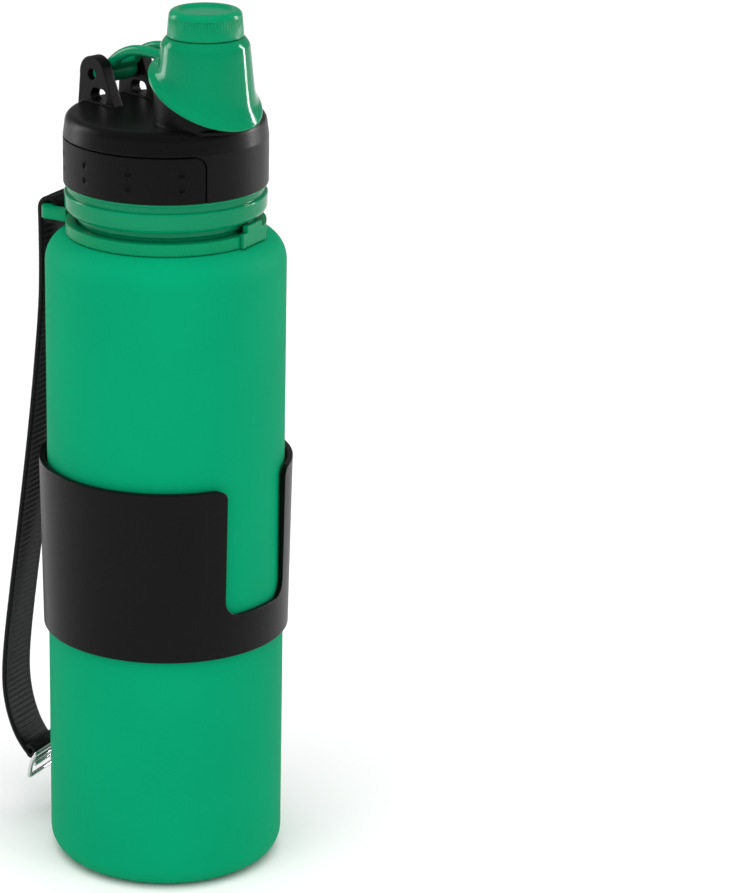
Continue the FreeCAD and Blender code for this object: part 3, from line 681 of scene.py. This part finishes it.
body_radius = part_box("silicone_body")[1].x
shoulder_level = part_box("silicone_body")[1].z - NECK_LIP
bar_out = 0.6 * MM                  # the loop's bar, past the bottle's wall
bar_level = joint_place("strap_swing").z
WRAP_TOP = 3.28 * MM                # radius of the web's middle round the bar
WRAP_FOOT = 1.6 * MM                # and round the hook's wire
TOP_ARC = (305, 6)                  # degrees from straight out where the wrap starts and ends
FOOT_ARC = (285, 40)
ARC_STEP = 6                        # degrees between two places of a wrap
SKIP_TOP, SKIP_FOOT = 3, 6          # places of the line that the wraps take over


def beside(out, z, x=0.0):
    """A place in the strap's own plane, which is turned with its loop."""
    y = body_radius + out
    return Vector((x * math.cos(TURN) - y * math.sin(TURN),
                   x * math.sin(TURN) + y * math.cos(TURN), z))


def hanging(point, x=0.0):
    """A place given in mm as how far out and how far below the shoulder it is."""
    return beside(point[0] * MM, shoulder_level - point[1] * MM, x)


route = [beside(bar_out + WRAP_TOP, bar_level)] + [hanging(p) for p in HANG]
route.append(hanging(FOLD) - Vector((0, 0, WRAP_FOOT)))


def smooth_line(points):
    """Places along the NURBS line that has these control points."""
    data = bpy.data.curves.new("route", "CURVE")
    data.dimensions = "3D"
    spline = data.splines.new("NURBS")
    spline.points.add(len(points) - 1)
    for point, place in zip(spline.points, points):
        point.co = (*place, 1)
    spline.order_u = 3
    spline.use_endpoint_u = True
    data.resolution_u = 40
    holder = bpy.data.objects.new("route", data)
    mesh = bpy.data.meshes.new_from_object(holder)
    places = [v.co.copy() for v in mesh.vertices]
    bpy.data.objects.remove(holder)
    bpy.data.curves.remove(data)
    bpy.data.meshes.remove(mesh)
    return places


web_line = smooth_line(route)
web_long = sum((b - a).length for a, b in zip(web_line, web_line[1:]))
print("strap", round(web_long, 4), "m in", len(web_line), "places")

# %% Webbing swept along a line
WEB_STEP = 0.3 * MM
RIB_DEPTH = 0.16 * MM
across_way = Vector((math.cos(TURN), math.sin(TURN), 0))


def even_steps(places, step):
    """Places again, with one every step along the line."""
    out, carried = [places[0]], 0.0
    for a, b in zip(places, places[1:]):
        length = (b - a).length
        at = step - carried
        while at <= length:
            out.append(a.lerp(b, at / length))
            at += step
        carried = (carried + length) % step
    return out


def wrapped(centre, radius, first, last):
    """Places round a bar, by angle from straight out, in the strap's plane."""
    steps = max(2, int(abs(last - first) / ARC_STEP))
    out = beside(1, 0) - beside(0, 0)
    angles = [math.radians(first + (last - first) * i / steps) for i in range(steps + 1)]
    return [centre + out * (radius * math.cos(a)) + Vector((0, 0, radius * math.sin(a)))
            for a in angles]


def web_section():
    """Half outline of the web: flat, with slightly thicker woven edges."""
    half, thick = WEB_WIDE / 2, WEB_THICK / 2
    edge = 0.7 * MM
    side = [(-half + edge + (WEB_WIDE - 2 * edge) * i / 6, thick) for i in range(7)]
    nose = [(half - edge * 0.45, thick * 1.05), (half, thick * 0.5), (half, -thick * 0.5),
            (half - edge * 0.45, -thick * 1.05)]
    return side + nose + [(-x, -y) for x, y in side] + [(-x, -y) for x, y in nose]


def webbing(name, places):
    """The web's section swept along the places, with ribs and its map in metres."""
    section = web_section()
    mesh = bmesh.new()
    weave = mesh.loops.layers.uv.new("weave")
    along = [0.0]
    for a, b in zip(places, places[1:]):
        along.append(along[-1] + (b - a).length)
    rings = []
    for i, place in enumerate(places):
        way = (places[min(i + 1, len(places) - 1)] - places[max(i - 1, 0)]).normalized()
        out = way.cross(across_way).normalized()
        rib = 1 + RIB_DEPTH / WEB_THICK * 2 * math.sin(2 * math.pi * along[i] / RIB_PITCH)
        rings.append([mesh.verts.new(place + across_way * x + out * y *
                                     (rib if abs(x) < WEB_WIDE * 0.45 else 1))
                      for x, y in section])
    count = len(section)
    for i in range(len(rings) - 1):
        for k in range(count):
            j = (k + 1) % count
            face = mesh.faces.new([rings[i][k], rings[i][j], rings[i + 1][j], rings[i + 1][k]])
            for loop, (u, v) in zip(face.loops, ((k, i), (j, i), (j, i + 1), (k, i + 1))):
                loop[weave].uv = (section[u][0], along[v])
    mesh.faces.new(rings[0][::-1])
    mesh.faces.new(rings[-1])
    bmesh.ops.recalc_face_normals(mesh, faces=mesh.faces)
    data = bpy.data.meshes.new(name)
    mesh.to_mesh(data)
    mesh.free()
    piece = bpy.data.objects.new(name, data)
    bpy.context.scene.collection.objects.link(piece)
    return piece


bar_middle = beside(bar_out, bar_level)
wire_middle = hanging(FOLD)
over_bar = wrapped(bar_middle, WRAP_TOP, *TOP_ARC)
round_wire = wrapped(wire_middle, WRAP_FOOT, *FOOT_ARC)
web_places = over_bar + web_line[SKIP_TOP:-SKIP_FOOT] + round_wire
strap = webbing("strap_webbing", even_steps(web_places, WEB_STEP))
finish_piece(strap, webbing_black, "strap", angle=60, stands_for=["strap"])

# %% [markdown]
# ## Stitches
# Two rows of thread hold each end of the strap.  A stitch is a short length of thread that
# dives into the web at both ends, so each is a small bent bar, made by one function at every
# place of its row.

# %% Stitches
STITCH_LONG = 1.5 * MM
STITCH_THICK = 0.4 * MM
STITCHES = 6
# how far along the strap the rows lie: two near its loop, two near its hook
STITCH_ROWS = (9 * MM, 12 * MM, web_long - 15 * MM, web_long - 12 * MM)


def stitch_row(name, index):
    """A row across the web's outer face, at one place of its line."""
    place = web_line[index]
    way = (web_line[index + 1] - web_line[index - 1]).normalized()
    out = across_way.cross(way).normalized()
    if out.dot(beside(1, 0) - beside(0, 0)) < 0:
        out = -out
    pitch = (WEB_WIDE - 3 * MM) / STITCHES
    stitches = []
    for k in range(STITCHES):
        middle = place + out * (WEB_THICK / 2) + across_way * (pitch * (k + 0.5) -
                                                              pitch * STITCHES / 2)
        half = across_way * (STITCH_LONG / 2)
        sink = out * STITCH_THICK * 0.6
        stitches.append(bar("stitch", [middle - half - sink, middle - half * 0.8,
                                       middle + half * 0.8, middle + half - sink],
                            STITCH_THICK, order=3, sides=1))
    return finish_piece(join(name, stitches), stitch_thread, "strap", angle=60)


def nearest(distance):
    """Index of the line's place that far along it."""
    run = 0.0
    for i, (a, b) in enumerate(zip(web_line, web_line[1:])):
        run += (b - a).length
        if run >= distance:
            return i
    return len(web_line) - 2


stitching = [stitch_row("stitches_%d" % i, nearest(d)) for i, d in enumerate(STITCH_ROWS)]

# %% [markdown]
# ## Wire hook
# The hook is bent from one length of hard steel wire: a ring that the strap's end is sewn
# round, with a bar on each side of the fold, and below it a free bar that goes over the
# catch.  Wire keeps its thickness and bends in small arcs, so a smooth line with a round
# section is the natural way to make it.

# %% Wire hook
HOOK_HALF = 7.9 * MM        # half the length of its bars
BEND = 1.3 * MM             # how far before a corner the wire starts to bend


def wire_loop():
    upper, second, free = [[hanging(p, side * HOOK_HALF) for side in (-1, 1)] for p in HOOK]
    lowered = [place - Vector((0, 0, WIRE * 1.05)) for place in second]

    def bent(before, corner, after):
        """Three control places that take the wire round one corner."""
        return [corner + (before - corner).normalized() * BEND, corner,
                corner + (after - corner).normalized() * BEND]

    turns = [second[1], upper[1], upper[0], second[0], free[0], free[1], lowered[1]]
    tip = across_way * WIRE             # the wire's ends stop beside the ring's far corner
    places = [second[0] + tip, second[1] - across_way * BEND, second[1]]
    for before, corner, after in zip(turns, turns[1:], turns[2:]):
        if corner is second[0]:
            places += [corner]
        else:
            places += bent(before, corner, after)
    places += [lowered[1], lowered[1] - across_way * BEND, lowered[0] + tip * 1.5]
    return bar("hook_wire", places, WIRE, order=3, sides=3)


hook = wire_loop()
finish_piece(hook, steel_wire, "hook", angle=60, stands_for=["wire_hook"])

# %% [markdown]
# ## Finishes for the hard parts
# The ring, lid, pads, gasket, nozzle, knob and sleeve already have their true shape in the
# engineering model, so they only need a finish.  The edge softening in the moulded material
# rounds their crisp corners.  The nodes that new pieces stand for are hidden, and they are
# given their pieces' finishes too, so that nothing in the model is left plain.

# %% Finishes
FINISHES = {
    "neck_collar": glossy_green, "strap_ring": satin_green, "twist_knob": knob_green,
    "lid_shell": black_plastic, "grip_pad_right": grip_rubber, "grip_pad_left": grip_rubber,
    "sleeve": black_plastic, "spout_nozzle": milky_silicone, "knob_seal": milky_silicone,
    "lid_gasket": milky_silicone, "silicone_body": soft_silicone, "hood": glossy_green,
    "strap": webbing_black, "wire_hook": steel_wire}
for name, finish in FINISHES.items():
    slots = frame["nodes"][name].data.materials
    slots.clear()
    slots.append(finish)

# %% [markdown]
# ## Studio
# A wide flat floor is enough, because the lens sees only floor.  Gloss and colour want
# different lamps: a wide box lights a colour evenly, but its reflection washes the colour
# out.  So two wide boxes in front light the colours and aren't mirrored, and two narrow
# strips further round are only mirrored, as bright lines down the sides.  A wide even light
# from above keeps the floor white, with a weak one from all round.

# %% Floor and lamps
def studio():
    deselect()
    bpy.ops.mesh.primitive_plane_add(size=12, location=(0, 0, 0))
    floor = bpy.context.object
    floor.name = "floor"
    material, tree = new_material("floor_paper_white")
    speck = node(tree, "TexNoise", {"Vector": node(tree, "TexCoord").outputs["Object"],
                                    "Scale": grain_scale(2.0)})
    rough = node(tree, "MapRange", {"Value": speck.outputs["Fac"], "To Min": 0.85,
                                    "To Max": 0.95})
    shader = node(tree, "BsdfPrincipled", {"Base Color": colour("#F7F7F7"),
                                           "Roughness": rough.outputs["Result"]})
    out = node(tree, "OutputMaterial")
    tree.links.new(shader.outputs["BSDF"], out.inputs["Surface"])
    floor.data.materials.append(material)


def lamp(name, turn, away, height, size, power, mirrored=True):
    """A soft box, this many degrees round from the camera to the right.

    A mirrored lamp shows only as a reflection, and any other gives only diffuse light.
    """
    data = bpy.data.lights.new(name, "AREA")
    data.shape = "RECTANGLE"
    data.size, data.size_y = size
    data.energy = power
    made = bpy.data.objects.new(name, data)
    bpy.context.scene.collection.objects.link(made)
    angle = math.radians(turn) - CAMERA_TURN
    made.location = (away * math.sin(angle), -away * math.cos(angle), height)
    aim = Vector((0, 0, 0.13)) - made.location
    made.rotation_euler = aim.to_track_quat("-Z", "Y").to_euler()
    made.visible_glossy = mirrored
    made.visible_diffuse = not mirrored


def ceiling(strength):
    """Even light from above, like a wide ceiling of diffusers; it keeps the floor white."""
    data = bpy.data.lights.new("ceiling", "SUN")
    data.angle = math.radians(70)
    data.energy = strength
    made = bpy.data.objects.new("ceiling", data)
    bpy.context.scene.collection.objects.link(made)
    made.rotation_euler = (math.radians(8), math.radians(-8), 0)
    made.visible_glossy = False


studio()
ceiling(2.7)
# Two wide boxes in front give the colour; the gloss doesn't mirror them.
lamp("fill_left", turn=-50, away=1.3, height=0.45, size=(0.9, 1.1), power=6.0, mirrored=False)
lamp("fill_right", turn=55, away=1.3, height=0.45, size=(0.9, 1.1), power=5.5, mirrored=False)
# Two strips a little behind draw the bright lines down both sides of glossy parts.
lamp("strip_right", turn=112, away=0.9, height=0.4, size=(0.09, 0.6), power=8.5)
lamp("strip_left", turn=-118, away=0.9, height=0.4, size=(0.3, 0.6), power=4.0)
world = bpy.data.worlds.new("studio_white")
world.use_nodes = True
world.node_tree.nodes["Background"].inputs["Color"].default_value = colour("#FFFFFF")
world.node_tree.nodes["Background"].inputs["Strength"].default_value = 0.3
bpy.context.scene.world = world
bpy.context.scene.view_settings.view_transform = "Standard"
